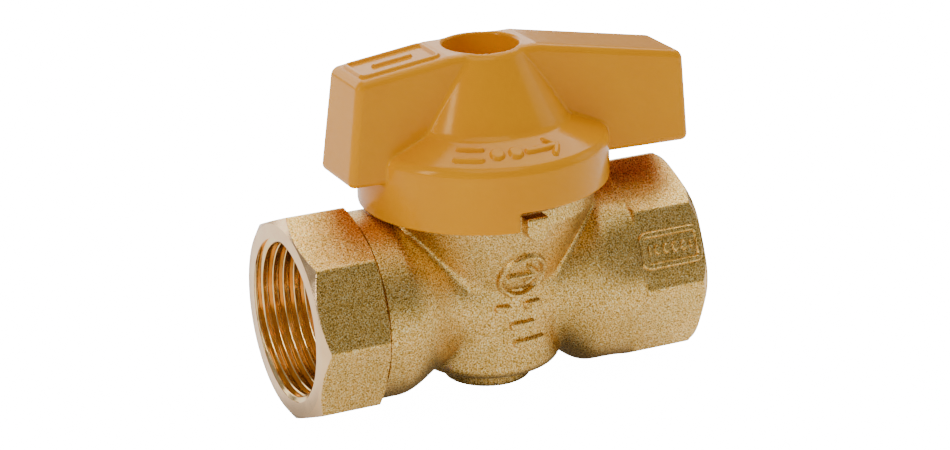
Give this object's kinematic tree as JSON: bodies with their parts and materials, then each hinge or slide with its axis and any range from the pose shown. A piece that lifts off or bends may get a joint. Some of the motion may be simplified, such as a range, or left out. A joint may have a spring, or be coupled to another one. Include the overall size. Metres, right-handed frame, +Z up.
{
  "type": "ball valve",
  "caption": "Forged brass gas ball valve with female pipe threads at both ends and a yellow wedge handle that turns a quarter turn to close it.",
  "frame": {"origin": "where the flow axis and the stem axis cross, at the centre of the ball", "axes": "+X along the flow axis from the screwed-in end connector to the body's own port, +Z up the stem to the handle, +Y to the back, away from the turning stop"},
  "size_m": [0.0711, 0.0414, 0.0589],
  "materials": {
    "forged_brass": "blasted, fine grained",
    "machined_brass": "turned, bright",
    "chrome_plate": "polished plate",
    "white_ptfe": "waxy white",
    "black_rubber": "matt",
    "zinc_steel": "zinc plated",
    "yellow_enamel": "glossy amber enamel on a zinc die casting"
  },
  "bodies": {
    "valve_body": {"body": "forged_brass", "end_connector": "forged_brass", "body_seal": "white_ptfe", "inlet_seat": "white_ptfe", "outlet_seat": "white_ptfe", "thrust_washer": "white_ptfe", "packing_lower": "white_ptfe", "packing_upper": "white_ptfe", "gland_nut": "machined_brass"},
    "handle_and_stem": {"handle": "yellow_enamel", "stem": "machined_brass", "stem_o_ring": "black_rubber", "lock_washer": "zinc_steel", "handle_screw": "zinc_steel"},
    "closure": {"ball": "chrome_plate"}
  },
  "joints": [
    {"name": "handle_turn", "type": "hinge", "parent": "valve_body", "child": "handle_and_stem", "pos_m": [0, 0, 0], "axis": [0, 0, 1], "range_deg": [-90, 0]},
    {"name": "ball_turn", "type": "hinge", "parent": "valve_body", "child": "closure", "pos_m": [0, 0, 0], "axis": [0, 0, 1], "range_deg": [-90, 0]}
  ],
  "couplings": [
    {"joint": "ball_turn", "follows": "handle_turn", "ratio": 1}
  ]
}
